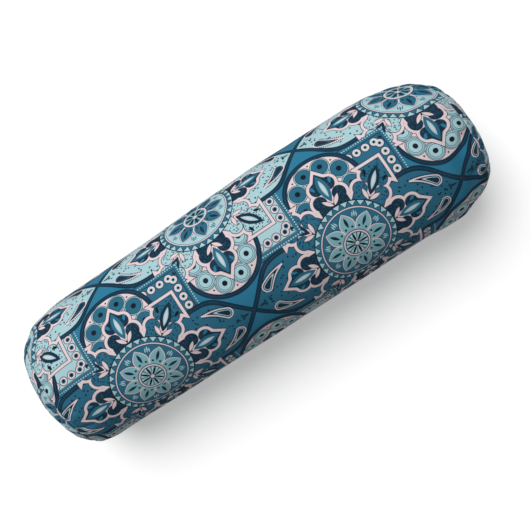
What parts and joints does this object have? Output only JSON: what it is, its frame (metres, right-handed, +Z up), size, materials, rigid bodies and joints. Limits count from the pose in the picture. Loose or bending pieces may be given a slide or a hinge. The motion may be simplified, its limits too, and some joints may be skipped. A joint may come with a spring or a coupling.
{
  "type": "bolster pillow",
  "caption": "Round bolster pillow with domed ends, a printed cotton cover closed by a coil zip, a calico liner, wadding and a foam core.",
  "frame": {"origin": "on the surface it rests on, under the middle of the bolster", "axes": "+X along the bolster towards the end where the zip shuts, +Y towards the side with the zip, +Z up"},
  "size_m": [0.67, 0.2, 0.1949],
  "materials": {
    "printed_cotton": "plain-woven cotton with an all-over print",
    "zip_tape": "woven polyester tape",
    "zip_coil": "polyester monofilament coil",
    "thread": "spun polyester thread",
    "stop_metal": "crimped strip",
    "slider_metal": "die-cast zinc, enamelled",
    "label_cloth": "blank woven satin",
    "calico": "unbleached calico",
    "wadding": "needled polyester wadding",
    "foam": "open-cell polyurethane foam"
  },
  "bodies": {
    "bolster": {"cover_body_panel": "printed_cotton", "cover_end_panel_left": "printed_cotton", "cover_end_panel_right": "printed_cotton", "zip_tape_upper": "zip_tape", "zip_tape_lower": "zip_tape", "zip_coil_upper": "zip_coil", "zip_coil_lower": "zip_coil", "zip_topstitch_upper": "thread", "zip_topstitch_lower": "thread", "zip_top_stops": "stop_metal", "zip_bottom_stop": "stop_metal", "end_seam_thread_left": "thread", "end_seam_thread_right": "thread", "care_label": "label_cloth", "liner_body_panel": "calico", "liner_end_panel_left": "calico", "liner_end_panel_right": "calico", "wadding_wrap": "wadding", "end_wadding_left": "wadding", "end_wadding_right": "wadding", "foam_core": "foam"},
    "zip_slider": {"zip_slider_body": "slider_metal"},
    "zip_pull_tab": {"zip_pull": "slider_metal"}
  },
  "joints": [
    {"name": "zip_slide", "type": "slide", "parent": "bolster", "child": "zip_slider", "axis": [-1, 0, 0], "range_m": [0, 0.4642]},
    {"name": "pull_swing", "type": "hinge", "parent": "zip_slider", "child": "zip_pull_tab", "pos_m": [0.2321, 0.09753, 0.06331], "axis": [0, -0.309, -0.9511], "range_deg": [0, 170]}
  ]
}
